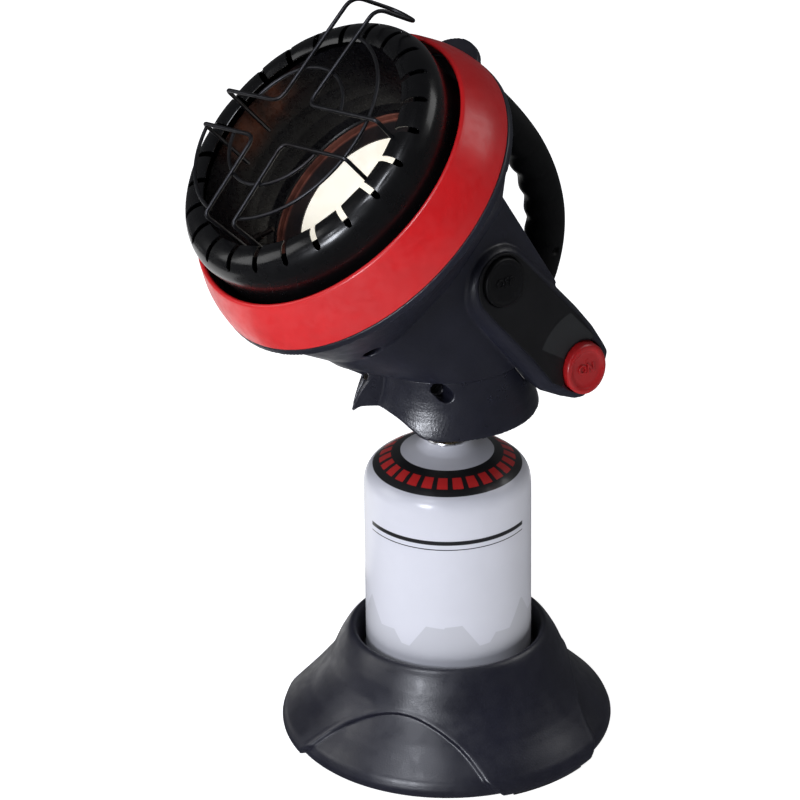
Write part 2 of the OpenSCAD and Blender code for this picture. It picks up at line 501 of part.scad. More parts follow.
// Tip-over switch: a weight that hangs from a pin in a small case
tip = [-30, 46, 312];
module tip_switch_case() color([0.20, 0.20, 0.22]) translate(tip) {
  difference() {
    translate([-14, -9, -34]) cube([28, 18, 40.8]);
    translate([-12, -7, -32]) cube([24, 14, 37]);
  }
  translate([0, -7.5, 0]) rotate([-90, 0, 0]) cylinder(r = 1.5, h = 15);
}
module tip_pendulum() color([0.60, 0.55, 0.42]) translate(tip) difference() {
  union() {
    rotate([-90, 0, 0]) translate([0, 0, -2]) cylinder(r = 3.2, h = 4);
    translate([-1, -1.5, -18]) cube([2, 3, 16]);
    translate([0, 0, -21]) rotate([-90, 0, 0]) translate([0, 0, -4]) cylinder(r = 5, h = 8);
  }
  rotate([-90, 0, 0]) translate([0, 0, -5]) cylinder(r = 1.56, h = 10);
}

// Everything is placed so that the origin is the middle of the whole part
translate([0, axis_y, 0]) {
  base_stand();
  foot_pads();
  canister_shell();
  canister_valve();
  inlet_seal();
  inlet_adapter();
  regulator_body();
  gas_pipe();
  valve_body();
  valve_stem();
  jet_pipe();
  gas_jet();
  mixing_tube();
  burner_pan();
  tile_gasket();
  burner_tile();
  burner_clamp_ring();
  reflector_dish();
  mounting_plate();
  front_crown();
  igniter_electrode();
  thermocouple();
  guard_cross_wires();
  guard_inner_ring();
  guard_outer_ring();
  bezel_ring();
  housing_right();
  housing_left();
  hood_right();
  hood_left();
  control_panel();
  housing_screws();
  plate_screws();
  handle_loop();
  handle_grip();
  on_button();
  on_spring();
  off_button();
  off_spring();
  piezo_igniter();
  piezo_plunger();
  cutoff_switch();
  tip_switch_case();
  tip_pendulum();
}
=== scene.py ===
import bpy, bmesh, math
import numpy as np
from mathutils import Matrix, Vector


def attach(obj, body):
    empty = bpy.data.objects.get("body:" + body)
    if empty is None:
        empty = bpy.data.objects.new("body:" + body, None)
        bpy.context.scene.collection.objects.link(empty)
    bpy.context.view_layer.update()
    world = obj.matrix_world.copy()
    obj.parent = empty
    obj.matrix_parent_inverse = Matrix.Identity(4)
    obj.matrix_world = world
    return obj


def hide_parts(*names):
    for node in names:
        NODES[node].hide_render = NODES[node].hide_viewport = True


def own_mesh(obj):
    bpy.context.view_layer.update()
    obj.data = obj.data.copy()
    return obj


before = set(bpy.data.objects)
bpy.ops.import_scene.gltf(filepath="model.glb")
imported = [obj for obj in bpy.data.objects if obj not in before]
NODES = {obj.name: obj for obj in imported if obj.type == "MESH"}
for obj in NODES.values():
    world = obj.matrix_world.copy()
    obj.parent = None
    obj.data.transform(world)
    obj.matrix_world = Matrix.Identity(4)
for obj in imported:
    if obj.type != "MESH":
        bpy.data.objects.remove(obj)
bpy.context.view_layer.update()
MM = 0.001
AXIS_Y = 30.5
HEAD = Matrix.Translation((0, (-62.6 + AXIS_Y) * MM, 396.2 * MM)) @ Matrix.Rotation(math.radians(41), 4, "X")
BASE = Matrix.Translation((0, AXIS_Y * MM, 0))


# ------------------------------------------------------------------ mesh code
def unit(a):
    a = np.asarray(a, float)
    return a / max(np.linalg.norm(a), 1e-12)


def build(name, verts, faces, body, place=BASE, stands_for=(), smooth=True, weld=1e-6, angle=None):
    """A mesh from points in millimetres in the frame `place`, riding on a body."""
    me = bpy.data.meshes.new(name)
    me.from_pydata([tuple(float(c) * MM for c in v) for v in verts], [], [tuple(int(i) for i in f) for f in faces])
    bm = bmesh.new()
    bm.from_mesh(me)
    if weld:
        bmesh.ops.remove_doubles(bm, verts=bm.verts, dist=weld)
    bmesh.ops.recalc_face_normals(bm, faces=bm.faces)
    bm.to_mesh(me)
    bm.free()
    me.transform(place)
    if smooth:
        me.shade_smooth()
        if angle is not None:
            me.set_sharp_from_angle(angle=math.radians(angle))
    o = bpy.data.objects.new(name, me)
    bpy.context.scene.collection.objects.link(o)
    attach(o, body)
    if stands_for:
        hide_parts(*stands_for)
    return o


def fillet(pts, r, steps=5, closed=True):
    """Rounds each corner of a polyline; r is a number or one number a point."""
    n = len(pts)
    rs = [r] * n if np.isscalar(r) else list(r)
    out = []
    for i in range(n):
        p = np.array(pts[i], float)
        if (not closed and i in (0, n - 1)) or rs[i] <= 0:
            out.append(p)
            continue
        a, b = np.array(pts[(i - 1) % n], float), np.array(pts[(i + 1) % n], float)
        la, lb = np.linalg.norm(a - p), np.linalg.norm(b - p)
        d = min(rs[i], la * 0.48, lb * 0.48)
        s, e = p + (a - p) / la * d, p + (b - p) / lb * d
        for k in range(steps + 1):
            t = k / steps
            out.append((1 - t) ** 2 * s + 2 * t * (1 - t) * p + t * t * e)
    return out


def resample(pts, step, closed=False):
    """Adds points so that no span is longer than step."""
    out = []
    m = len(pts) if closed else len(pts) - 1
    for i in range(m):
        a, b = np.array(pts[i], float), np.array(pts[(i + 1) % len(pts)], float)
        k = max(1, int(math.ceil(np.linalg.norm(b - a) / step)))
        out += [a + (b - a) * j / k for j in range(k)]
    if not closed:
        out.append(np.array(pts[-1], float))
    return out


def grid_faces(rows, cols, wrap_rows=False, wrap_cols=True):
    f = []
    for i in range(rows if wrap_rows else rows - 1):
        for j in range(cols if wrap_cols else cols - 1):
            a, b = i * cols + j, i * cols + (j + 1) % cols
            c, d = ((i + 1) % rows) * cols + (j + 1) % cols, ((i + 1) % rows) * cols + j
            f.append((a, b, c, d))
    return f


def revolve(name, profile, body, n=192, place=BASE, closed=True, **kw):
    """Turns a profile of (radius, height) about the frame's own z axis."""
    ang = [2 * math.pi * j / n for j in range(n)]
    verts = [(p[0] * math.cos(a), p[0] * math.sin(a), p[1]) for p in profile for a in ang]
    return build(name, verts, grid_faces(len(profile), n, wrap_rows=closed), body, place, **kw)


def frames_along(path, n0):
    p = np.array(path, float)
    t = np.gradient(p, axis=0)
    t /= np.linalg.norm(t, axis=1)[:, None]
    n = unit(np.array(n0, float) - np.dot(n0, t[0]) * t[0])
    ns = []
    for k in range(len(p)):
        n = unit(n - np.dot(n, t[k]) * t[k])
        ns.append(n)
    return p, t, np.array(ns)


def sweep(path, ring, n0, count):
    """Rings of points round a path. ring(i, angle) gives the offset along the normal and across it."""
    p, t, n = frames_along(path, n0)
    b = np.cross(t, n)
    verts = []
    for i in range(len(p)):
        for j in range(count):
            u, v = ring(i, 2 * math.pi * j / count)
            verts.append(p[i] + u * n[i] + v * b[i])
    return verts


def capped(rows, cols):
    f = grid_faces(rows, cols)
    f.append(tuple(range(cols))[::-1])
    f.append(tuple((rows - 1) * cols + j for j in range(cols)))
    return f


def rounded_wire(path, r, count=14, n0=(0.1, 0.2, 1)):
    """A round wire with domed ends, as points and faces."""
    p = resample(path, 1.6)
    p = np.array(p)
    d0, d1 = unit(p[0] - p[1]), unit(p[-1] - p[-2])
    k = 4
    head = [p[0] + d0 * r * math.sin(math.pi / 2 * j / k) for j in range(k, 0, -1)]
    tail = [p[-1] + d1 * r * math.sin(math.pi / 2 * j / k) for j in range(1, k + 1)]
    sizes = [r * math.cos(math.pi / 2 * j / k) for j in range(k, 0, -1)] + [r] * len(p) + [r * math.cos(math.pi / 2 * j / k) for j in range(1, k + 1)]
    sizes = [max(s, 0.02) for s in sizes]
    full = head + list(p) + tail
    v = sweep(full, lambda i, a: (sizes[i] * math.cos(a), sizes[i] * math.sin(a)), n0, count)
    return v, capped(len(full), count)


def merge(parts):
    verts, faces = [], []
    for v, f in parts:
        base = len(verts)
        verts += list(v)
        faces += [tuple(i + base for i in q) for q in f]
    return verts, faces


def cad_copy(name, nodes, body, voxel=None, rounds=0, factor=0.5, stands=True):
    """A copy of CAD nodes' meshes as one welded piece, remeshed and relaxed so that its edges are moulded ones."""
    bm = bmesh.new()
    for n in nodes:
        bm.from_mesh(NODES[n].data)
    bmesh.ops.remove_doubles(bm, verts=bm.verts, dist=2e-6)
    me = bpy.data.meshes.new(name)
    bm.to_mesh(me)
    bm.free()
    o = bpy.data.objects.new(name, me)
    bpy.context.scene.collection.objects.link(o)
    if voxel:
        m = o.modifiers.new("remesh", "REMESH")
        m.mode = "VOXEL"
        m.voxel_size = voxel * MM
        m.use_smooth_shade = True
        if rounds:
            s = o.modifiers.new("relax", "SMOOTH")
            s.factor = factor
            s.iterations = rounds
        dg = bpy.context.evaluated_depsgraph_get()
        new = bpy.data.meshes.new_from_object(o.evaluated_get(dg))
        o.modifiers.clear()
        o.data = new
        o.data.materials.clear()
        o.data.shade_smooth()
    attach(o, body)
    if stands:
        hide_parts(*nodes)
    return o


# ------------------------------------------------------------------ materials
class Mat:
    """Small helper round a Principled material whose textures use the part's own rest coordinates."""

    def __init__(self, name):
        self.m = bpy.data.materials.new(name)
        self.m.use_nodes = True
        self.nt = self.m.node_tree
        self.b = next(n for n in self.nt.nodes if n.type == "BSDF_PRINCIPLED")
        self.co = self.nt.nodes.new("ShaderNodeTexCoord").outputs["Object"]

    def node(self, kind, **values):
        n = self.nt.nodes.new(kind)
        for k, v in values.items():
            if hasattr(n, k) and k not in n.inputs:
                setattr(n, k, v)
            else:
                n.inputs[k].default_value = v
        return n

    def link(self, a, b):
        self.nt.links.new(a, b)

    def noise(self, scale, detail=3.0, rough=0.55, at=None, distortion=0.0):
        n = self.node("ShaderNodeTexNoise")
        n.inputs["Scale"].default_value = scale
        n.inputs["Detail"].default_value = detail
        n.inputs["Roughness"].default_value = rough
        n.inputs["Distortion"].default_value = distortion
        self.link(at or self.co, n.inputs["Vector"])
        return n.outputs["Fac"]

    def voronoi(self, scale, feature="F1", at=None, random=1.0):
        n = self.node("ShaderNodeTexVoronoi")
        n.feature = feature
        n.inputs["Scale"].default_value = scale
        n.inputs["Randomness"].default_value = random
        self.link(at or self.co, n.inputs["Vector"])
        return n.outputs["Distance"]

    def ramp(self, value, a, b, ca, cb, mode="SMOOTHSTEP"):
        n = self.node("ShaderNodeMapRange")
        n.interpolation_type = mode
        for k, v in zip(("From Min", "From Max", "To Min", "To Max"), (a, b, ca, cb)):
            n.inputs[k].default_value = v
        self.link(value, n.inputs["Value"])
        return n.outputs["Result"]

    def math(self, op, a, b=None, c=None):
        n = self.node("ShaderNodeMath")
        n.operation = op
        for i, v in enumerate((a, b, c)):
            if v is None:
                continue
            if isinstance(v, (int, float)):
                n.inputs[i].default_value = v
            else:
                self.link(v, n.inputs[i])
        return n.outputs[0]

    def mix(self, fac, a, b, kind="MIX"):
        n = self.node("ShaderNodeMix")
        n.data_type = "RGBA"
        n.blend_type = kind
        for sock, v in ((n.inputs[0], fac), (n.inputs[6], a), (n.inputs[7], b)):
            if isinstance(v, (int, float)):
                sock.default_value = v
            elif isinstance(v, (tuple, list)):
                sock.default_value = (*v, 1) if len(v) == 3 else v
            else:
                self.link(v, sock)
        return n.outputs[2]

    def xyz(self, at=None):
        n = self.node("ShaderNodeSeparateXYZ")
        self.link(at or self.co, n.inputs[0])
        return n.outputs

    def mapped(self, matrix):
        """Rest coordinates turned into another frame, in metres, by the frame's inverse."""
        n = self.node("ShaderNodeMapping")
        n.vector_type = "POINT"
        inv = matrix.inverted()
        n.inputs["Location"].default_value = inv.translation
        n.inputs["Rotation"].default_value = inv.to_euler()
        self.link(self.co, n.inputs["Vector"])
        return n.outputs[0]

    def bump(self, height, strength=0.3, distance=0.0003, normal=None):
        n = self.node("ShaderNodeBump")
        n.inputs["Strength"].default_value = strength
        n.inputs["Distance"].default_value = distance
        self.link(height, n.inputs["Height"])
        if normal is not None:
            self.link(normal, n.inputs["Normal"])
        return n.outputs[0]

    def colour(self, v):
        if isinstance(v, (tuple, list)):
            self.b.inputs["Base Color"].default_value = (*v, 1)
        else:
            self.link(v, self.b.inputs["Base Color"])

    def rough(self, v):
        if isinstance(v, (int, float)):
            self.b.inputs["Roughness"].default_value = v
        else:
            self.link(v, self.b.inputs["Roughness"])

    def normal(self, v):
        self.link(v, self.b.inputs["Normal"])

    def set(self, **kw):
        for k, v in kw.items():
            self.b.inputs[k.replace("_", " ")].default_value = v

    def edges(self, lo=0.52, hi=0.60):
        """Worn outer edges, from the surface's own curvature."""
        g = self.node("ShaderNodeNewGeometry")
        return self.ramp(g.outputs["Pointiness"], lo, hi, 0.0, 1.0)


def shade(colour, k):
    return tuple(c * k for c in colour)


def plastic(name, colour, rough=0.45, grain=1900, depth=0.00005, vary=0.16, edge=0.5, spec=0.5, edge_range=(0.53, 0.62)):
    """Moulded plastic with a fine spark-eroded grain, faint flow marks and lighter rubbed edges."""
    m = Mat(name)
    broad = m.noise(22, 2.0)
    fine = m.noise(grain, 2.0)
    cells = m.voronoi(grain * 0.62)
    tone = m.mix(m.ramp(broad, 0.3, 0.7, 0, 1), shade(colour, 1 - vary), shade(colour, 1 + vary))
    tone = m.mix(m.math("MULTIPLY", m.ramp(fine, 0.35, 0.75, 0, 1), 0.22), tone, shade(colour, 2.1))
    tone = m.mix(m.math("MULTIPLY", m.edges(*edge_range), edge * 0.35), tone, tuple(min(1, c * 2.4 + 0.02) for c in colour))
    m.colour(tone)
    m.rough(m.math("ADD", m.ramp(m.noise(90, 3.0), 0.3, 0.7, rough - 0.05, rough + 0.06), m.math("MULTIPLY", fine, 0.06)))
    m.set(Specular_IOR_Level=spec)
    h = m.math("ADD", m.math("MULTIPLY", fine, 0.55), m.math("MULTIPLY", cells, 0.6))
    m.normal(m.bump(h, 0.55, depth))
    return m.m


def metal(name, colour, rough=0.3, brush=None, stain=None, depth=0.00002):
    m = Mat(name)
    at = m.co
    if brush:
        n = m.node("ShaderNodeMapping")
        n.inputs["Scale"].default_value = brush
        m.link(m.co, n.inputs["Vector"])
        at = n.outputs[0]
    streak = m.noise(700, 4.0, at=at)
    blotch = m.noise(60, 3.0)
    tone = m.mix(m.ramp(blotch, 0.3, 0.7, 0, 1), shade(colour, 0.85), colour)
    tone = m.mix(m.math("MULTIPLY", m.ramp(streak, 0.4, 0.7, 0, 1), 0.3), tone, tuple(min(1, c * 1.25) for c in colour))
    if stain:
        tone = m.mix(m.ramp(m.noise(38, 5.0), 0.52, 0.75, 0, 0.6), tone, stain)
    m.colour(tone)
    m.set(Metallic=1.0)
    m.rough(m.ramp(streak, 0.2, 0.8, rough * 0.8, rough * 1.3))
    m.normal(m.bump(streak, 0.5, depth))
    return m.m


def paint(name, colour, rough=0.16, coat=0.6, peel=420, vary=0.05, spec=0.5, depth=0.00003, coat_rough=0.06):
    """Sprayed or enamelled gloss finish with a faint orange peel and dust specks."""
    m = Mat(name)
    tone = m.mix(m.ramp(m.noise(30, 2.0), 0.3, 0.7, 0, 1), shade(colour, 1 - vary), tuple(min(1, c * (1 + vary)) for c in colour))
    specks = m.ramp(m.voronoi(900), 0.03, 0.09, 1.0, 0.0)
    tone = m.mix(m.math("MULTIPLY", specks, 0.25), tone, tuple(min(1, c * 1.5 + 0.02) for c in colour))
    m.colour(tone)
    m.rough(m.ramp(m.noise(160, 4.0), 0.25, 0.75, rough * 0.8, rough * 1.25))
    m.set(Coat_Weight=coat, Coat_Roughness=coat_rough, Specular_IOR_Level=spec)
    m.normal(m.bump(m.noise(peel, 1.5), 0.35, depth))
    return m.m


def rubber(name, colour, rough=0.6, vary=0.2):
    m = Mat(name)
    fine = m.noise(2600, 2.0)
    tone = m.mix(m.ramp(m.noise(45, 3.0), 0.3, 0.7, 0, 1), shade(colour, 1 - vary), shade(colour, 1 + vary))
    tone = m.mix(m.math("MULTIPLY", m.edges(0.54, 0.66), 0.2), tone, tuple(c * 2 + 0.01 for c in colour))
    m.colour(tone)
    m.rough(m.ramp(m.noise(120, 3.0), 0.3, 0.7, rough - 0.07, rough + 0.07))
    m.set(Specular_IOR_Level=0.4)
    m.normal(m.bump(fine, 0.5, 0.00004))
    return m.m


CHARCOAL = (0.0085, 0.0090, 0.0165)
M = {}
M["stand"] = plastic("stand_plastic", (0.0085, 0.0088, 0.0165), rough=0.35, grain=1300, depth=0.00009, spec=0.75)
M["casing"] = plastic("casing_plastic", CHARCOAL, rough=0.38, grain=1300, depth=0.00012, spec=0.75)
M["hood"] = plastic("hood_plastic", CHARCOAL, rough=0.29, grain=1000, depth=0.00020, spec=1.0)
M["on"] = paint("on_button_red", (0.36, 0.0090, 0.0110), rough=0.32, coat=0.15, coat_rough=0.18)
M["off"] = plastic("off_button_black", (0.0022, 0.0022, 0.0027), rough=0.42, grain=2600, depth=0.00003)
M["bezel"] = paint("bezel_red", (0.53, 0.0080, 0.0105), rough=0.36, coat=0.22, peel=260, coat_rough=0.16)
M["guard"] = metal("guard_wire_steel", (0.060, 0.060, 0.066), rough=0.42, stain=(0.03, 0.022, 0.02))
M["grip"] = rubber("grip_rubber", (0.0018, 0.0018, 0.0022), rough=0.52)
M["core"] = plastic("handle_core_plastic", (0.0075, 0.0078, 0.0095), rough=0.42, grain=1900)
M["rubber"] = rubber("foot_rubber", (0.008, 0.008, 0.008), rough=0.7)
M["steel"] = metal("bright_steel", (0.62, 0.62, 0.63), rough=0.28, brush=(1, 1, 6))
M["zinc"] = metal("zinc_casting", (0.46, 0.47, 0.48), rough=0.42)
M["alu"] = metal("cast_aluminium", (0.58, 0.59, 0.60), rough=0.45)
M["brass"] = metal("turned_brass", (0.72, 0.50, 0.20), rough=0.24, brush=(1, 1, 8))
M["copper"] = metal("copper_tube", (0.72, 0.34, 0.20), rough=0.3)
M["spring"] = metal("spring_steel", (0.5, 0.5, 0.52), rough=0.25)
M["blackscrew"] = metal("black_oxide_screw", (0.035, 0.035, 0.038), rough=0.42)
M["ceramic"] = paint("ceramic_insulator", (0.80, 0.77, 0.70), rough=0.35, coat=0.1)
M["sooted"] = metal("sooted_probe", (0.030, 0.024, 0.022), rough=0.5, stain=(0.05, 0.025, 0.015))
M["fibre"] = rubber("fibre_gasket", (0.45, 0.43, 0.38), rough=0.9, vary=0.1)
M["bluebox"] = plastic("switch_case_blue", (0.02, 0.02, 0.07), rough=0.4)
M["greybox"] = plastic("switch_case_grey", (0.03, 0.03, 0.034), rough=0.45)
M["sootsteel"] = metal("mounting_plate_steel", (0.10, 0.10, 0.11), rough=0.4, stain=(0.06, 0.04, 0.03))

# control panel: near-black plate with a plain grey fan-shaped area beside the ON button
m = Mat("panel_plastic")
hp = m.xyz(m.mapped(HEAD))
dv, dw = m.math("SUBTRACT", hp[1], 0.0156), m.math("ADD", hp[2], 0.1800)
from_on = m.math("SQRT", m.math("ADD", m.math("MULTIPLY", dv, dv), m.math("MULTIPLY", dw, dw)))
turn = m.math("ARCTAN2", dw, dv)
fan = m.math("MULTIPLY", m.ramp(from_on, 0.0182, 0.0186, 0, 1), m.ramp(from_on, 0.0385, 0.0389, 1, 0))
fan = m.math("MULTIPLY", fan, m.math("MULTIPLY", m.ramp(turn, -0.04, -0.02, 0, 1), m.ramp(turn, 1.84, 1.86, 1, 0)))
fan = m.math("MULTIPLY", fan, m.ramp(hp[1], 0.0352, 0.0356, 1, 0))
fan = m.math("MULTIPLY", fan, m.ramp(hp[0], 0.0500, 0.0505, 0, 1))
base = m.mix(m.ramp(m.noise(30, 2.0), 0.3, 0.7, 0, 1), (0.0052, 0.0052, 0.0060), (0.0070, 0.0070, 0.0080))
base = m.mix(m.math("MULTIPLY", m.edges(0.52, 0.60), 0.35), base, (0.030, 0.031, 0.040))
m.colour(m.mix(fan, base, (0.0190, 0.0200, 0.0215)))
m.rough(m.ramp(m.noise(90, 3.0), 0.3, 0.7, 0.46, 0.56))
m.set(Specular_IOR_Level=0.4)
m.normal(m.bump(m.noise(2400, 2.0), 0.45, 0.00004))
M["panel"] = m.m

# crown: black enamel, filmed over with soot towards the lower right
m = Mat("crown_enamel")
hc = m.xyz(m.mapped(HEAD))
m.colour(m.mix(m.ramp(m.noise(30, 2.0), 0.3, 0.7, 0, 1), (0.0022, 0.0022, 0.0026), (0.0034, 0.0034, 0.0038)))
film = m.ramp(m.math("SUBTRACT", hc[1], m.math("MULTIPLY", hc[0], 1.1)), -0.045, 0.055, 0.07, 0.0)
m.rough(m.math("ADD", film, m.ramp(m.noise(160, 4.0), 0.25, 0.75, 0.19, 0.26)))
m.set(Coat_Weight=0.30, Coat_Roughness=0.12, Specular_IOR_Level=0.36)
m.normal(m.bump(m.noise(300, 1.5), 0.35, 0.00004))
M["crown"] = m.m

# drawn dish: sooted steel with a painted brown reflection on one wall
m = Mat("dish_steel")
hz = m.xyz(m.mapped(HEAD))
band = m.ramp(hz[2], 0.024, 0.040, 0.0, 1.0)
away = m.math("ABSOLUTE", m.math("ARCTAN2", m.math("ADD", hz[1], 0.002), m.math("MULTIPLY", hz[0], -1.0)))
side = m.ramp(away, 0.20, 0.62, 1.0, 0.0)
swirl = m.noise(46, 4.0)
tone = m.mix(m.ramp(m.noise(50, 3.0), 0.3, 0.7, 0, 1), (0.0016, 0.0015, 0.0022), (0.0028, 0.0027, 0.0038))
# painted reflection: a warm brown patch, banded in height on one wall, stands in for a reflection in the dark steel
painted_reflection_mask = m.math("MULTIPLY", m.math("MULTIPLY", band, m.ramp(swirl, 0.35, 0.62, 0.15, 1.0)), side)
tone = m.mix(painted_reflection_mask, tone, (0.052, 0.016, 0.008))
m.colour(tone)
m.set(Metallic=0.0, Specular_IOR_Level=0.28)
m.rough(m.ramp(m.noise(300, 4.0), 0.3, 0.7, 0.24, 0.34))
m.normal(m.bump(m.noise(500, 3.0), 0.3, 0.00002))
M["dish"] = m.m

# clamp ring, near-black, and brown on its outer part
m = Mat("clamp_ring_steel")
hk = m.xyz(m.mapped(HEAD))
far = m.math("SQRT", m.math("ADD", m.math("MULTIPLY", hk[0], hk[0]), m.math("MULTIPLY", hk[1], hk[1])))
dark = m.mix(m.ramp(m.noise(55, 5.0), 0.35, 0.65, 0, 1), (0.010, 0.008, 0.009), (0.022, 0.013, 0.012))
outer_brown = m.mix(m.ramp(m.noise(70, 5.0), 0.35, 0.65, 0, 1), (0.12, 0.040, 0.028), (0.24, 0.082, 0.055))
tone = m.mix(m.ramp(far, 0.0615, 0.0640, 0, 1), dark, outer_brown)
m.colour(tone)
m.set(Metallic=0.35)
m.rough(m.ramp(m.noise(400, 3.0), 0.3, 0.7, 0.45, 0.62))
m.normal(m.bump(m.noise(1200, 3.0), 0.5, 0.00003))
M["clamp"] = m.m

# porous ceramic tile: cream, with rows of small flame ports
m = Mat("burner_ceramic")
hv = m.mapped(HEAD)
ports = m.voronoi(620, at=hv, random=0.12)
hole = m.ramp(ports, 0.20, 0.34, 1.0, 0.0)
tone = m.mix(m.ramp(m.noise(60, 4.0), 0.3, 0.7, 0, 1), (0.86, 0.80, 0.66), (0.95, 0.91, 0.80))
# painted shade: the ports are darkened to stand for the shade inside the holes
tone = m.mix(m.math("MULTIPLY", hole, 0.35), tone, (0.60, 0.50, 0.34))
m.colour(tone)
m.rough(0.85)
m.normal(m.bump(m.math("SUBTRACT", m.noise(3000, 3.0), m.math("MULTIPLY", hole, 1.5)), 0.5, 0.0002))
# painted glow: the unlit tile is given an emission of its own so it reads bright
glow = m.mix(0.5, (1.0, 0.93, 0.78), tone)
m.link(glow, m.b.inputs["Emission Color"])
m.set(Emission_Strength=0.48)
M["tile"] = m.m

# canister: pale lacquered steel with generic printed bands
m = Mat("canister_lacquer")
bz = m.xyz(m.mapped(BASE))
ang = m.math("ARCTAN2", bz[1], bz[0])
tone = m.mix(m.ramp(m.noise(26, 3.0), 0.3, 0.7, 0, 1), (0.58, 0.585, 0.64), (0.60, 0.605, 0.66))
wave = m.math("ADD", m.math("MULTIPLY", m.math("PINGPONG", m.math("MULTIPLY", ang, 0.9), 0.5), 0.040), m.math("MULTIPLY", m.math("PINGPONG", m.math("ADD", m.math("MULTIPLY", ang, 2.3), 0.31), 0.5), 0.018))
ridge = m.math("SUBTRACT", bz[2], m.math("ADD", wave, 0.079))
tone = m.mix(m.ramp(ridge, -0.0004, 0.0003, 1.0, 0.0), tone, (0.49, 0.495, 0.535))
rad = m.math("SQRT", m.math("ADD", m.math("MULTIPLY", bz[0], bz[0]), m.math("MULTIPLY", bz[1], bz[1])))
# black ring on the shoulder with a row of plain red dashes
ringed = m.math("MULTIPLY", m.ramp(rad, 0.0305, 0.0308, 0, 1), m.ramp(bz[2], 0.1925, 0.1928, 0, 1))
tone = m.mix(ringed, tone, (0.010, 0.010, 0.011))
dash = m.math("PINGPONG", m.math("MULTIPLY", ang, 4.2), 0.5)
dashes = m.math("MULTIPLY", m.math("MULTIPLY", m.ramp(rad, 0.0368, 0.0370, 0, 1), m.ramp(rad, 0.0445, 0.0447, 1, 0)), m.ramp(dash, 0.16, 0.17, 0, 1))
tone = m.mix(m.math("MULTIPLY", dashes, ringed), tone, (0.50, 0.020, 0.020))
# two plain black rules round the body, the upper heavier
rule = m.math("MULTIPLY", m.ramp(bz[2], 0.1603, 0.1604, 0, 1), m.ramp(bz[2], 0.1632, 0.1633, 1, 0))
thin = m.math("MULTIPLY", m.ramp(bz[2], 0.1566, 0.1567, 0, 1), m.ramp(bz[2], 0.1573, 0.1574, 1, 0))
front = m.ramp(m.math("COSINE", m.math("ADD", ang, 0.53)), 0.45, 0.47, 0, 1)
tone = m.mix(m.math("MULTIPLY", m.math("MAXIMUM", rule, thin), front), tone, (0.012, 0.012, 0.014))
m.colour(tone)
m.rough(m.ramp(m.noise(35, 1.0), 0.3, 0.7, 0.29, 0.34))
m.set(Metallic=0.0, Coat_Weight=0.4, Coat_Roughness=0.14)
M["canister"] = m.m


def dress(o, material):
    o.data.materials.clear()
    o.data.materials.append(material)
    for p in o.data.polygons:
        p.material_index = 0
    return o


KEEP = {
    "foot_pads": "rubber", "canister_valve": "steel", "inlet_seal": "rubber", "inlet_adapter": "brass",
    "regulator_body": "alu", "gas_pipe": "copper", "valve_body": "alu", "valve_stem": "brass",
    "jet_pipe": "copper", "gas_jet": "brass", "mixing_tube": "zinc", "burner_pan": "steel",
    "tile_gasket": "fibre", "burner_tile": "tile", "burner_clamp_ring": "clamp", "reflector_dish": "dish",
    "mounting_plate": "sootsteel", "front_crown": "crown", "igniter_electrode": "sooted",
    "thermocouple": "sooted", "guard_cross_wires": "guard", "guard_inner_ring": "guard",
    "guard_outer_ring": "guard", "bezel_ring": "bezel", "housing_right": "casing",
    "housing_left": "casing", "hood_right": "hood", "hood_left": "hood", "control_panel": "panel",
    "housing_screws": "blackscrew", "plate_screws": "zinc", "handle_loop": "core", "handle_grip": "grip",
    "on_button": "on", "on_spring": "spring", "off_button": "off", "off_spring": "spring",
    "piezo_igniter": "greybox", "piezo_plunger": "greybox", "cutoff_switch": "bluebox",
    "tip_switch_case": "greybox", "tip_pendulum": "brass", "base_stand": "stand",
    "canister_shell": "canister",
}
for node, key in KEEP.items():
    dress(NODES[node], M[key])
    NODES[node].data.shade_smooth()
    NODES[node].data.set_sharp_from_angle(angle=math.radians(32))


def finish_piece(o, key):
    dress(o, M[key])
    return o


# ------------------------------------------------------------------ springs, copied as pieces of their own on the head
for node, joint, seat, keep in (("on_spring", "on_button_press", 0.021, 0.865), ("off_spring", "off_button_press", 0.025, 0.90)):
    coil = bpy.data.objects.new(node + "_coil", NODES[node].data.copy())
    bpy.context.scene.collection.objects.link(coil)
    coil.matrix_world = NODES[node].matrix_world.copy()
    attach(coil, "head")
    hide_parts(node)
    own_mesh(coil)

# ------------------------------------------------------------------ stand
SOCKET = 57.2
stand_out = [(109.5, 1.2), (111.5, 3), (112.2, 6.5), (110, 12), (104, 18), (97.7, 24), (92, 30), (87.3, 36), (82.8, 42),
             (79.1, 48), (76.5, 54), (74, 60), (70.7, 66), (68.2, 70), (66.2, 72.4), (64.2, 73.7), (62.4, 73.2), (61, 71), (59.8, 67), (58.6, 62), (SOCKET, 57)]
stand_in = [(SOCKET, 55), (0.02, 55), (0.02, 52), (60.2, 52), (61.4, 62), (62.9, 69), (64.4, 70.6), (66.6, 66.8), (70, 60), (72.4, 54), (74, 48),
            (76.8, 42), (81.3, 36), (86, 30), (91.7, 24), (98, 18), (103.2, 12), (105.6, 6.5), (103.6, 1.2)]


def arch_line():
    top = 46.0
    pts = []
    for s in np.linspace(-40, 40, 161):
        pts.append((100 * math.sin(math.radians(s)) * (1.12 - 0.32 * (1 - abs(s) / 40)), top - top / 1797 * s * s))
    return np.array(pts)


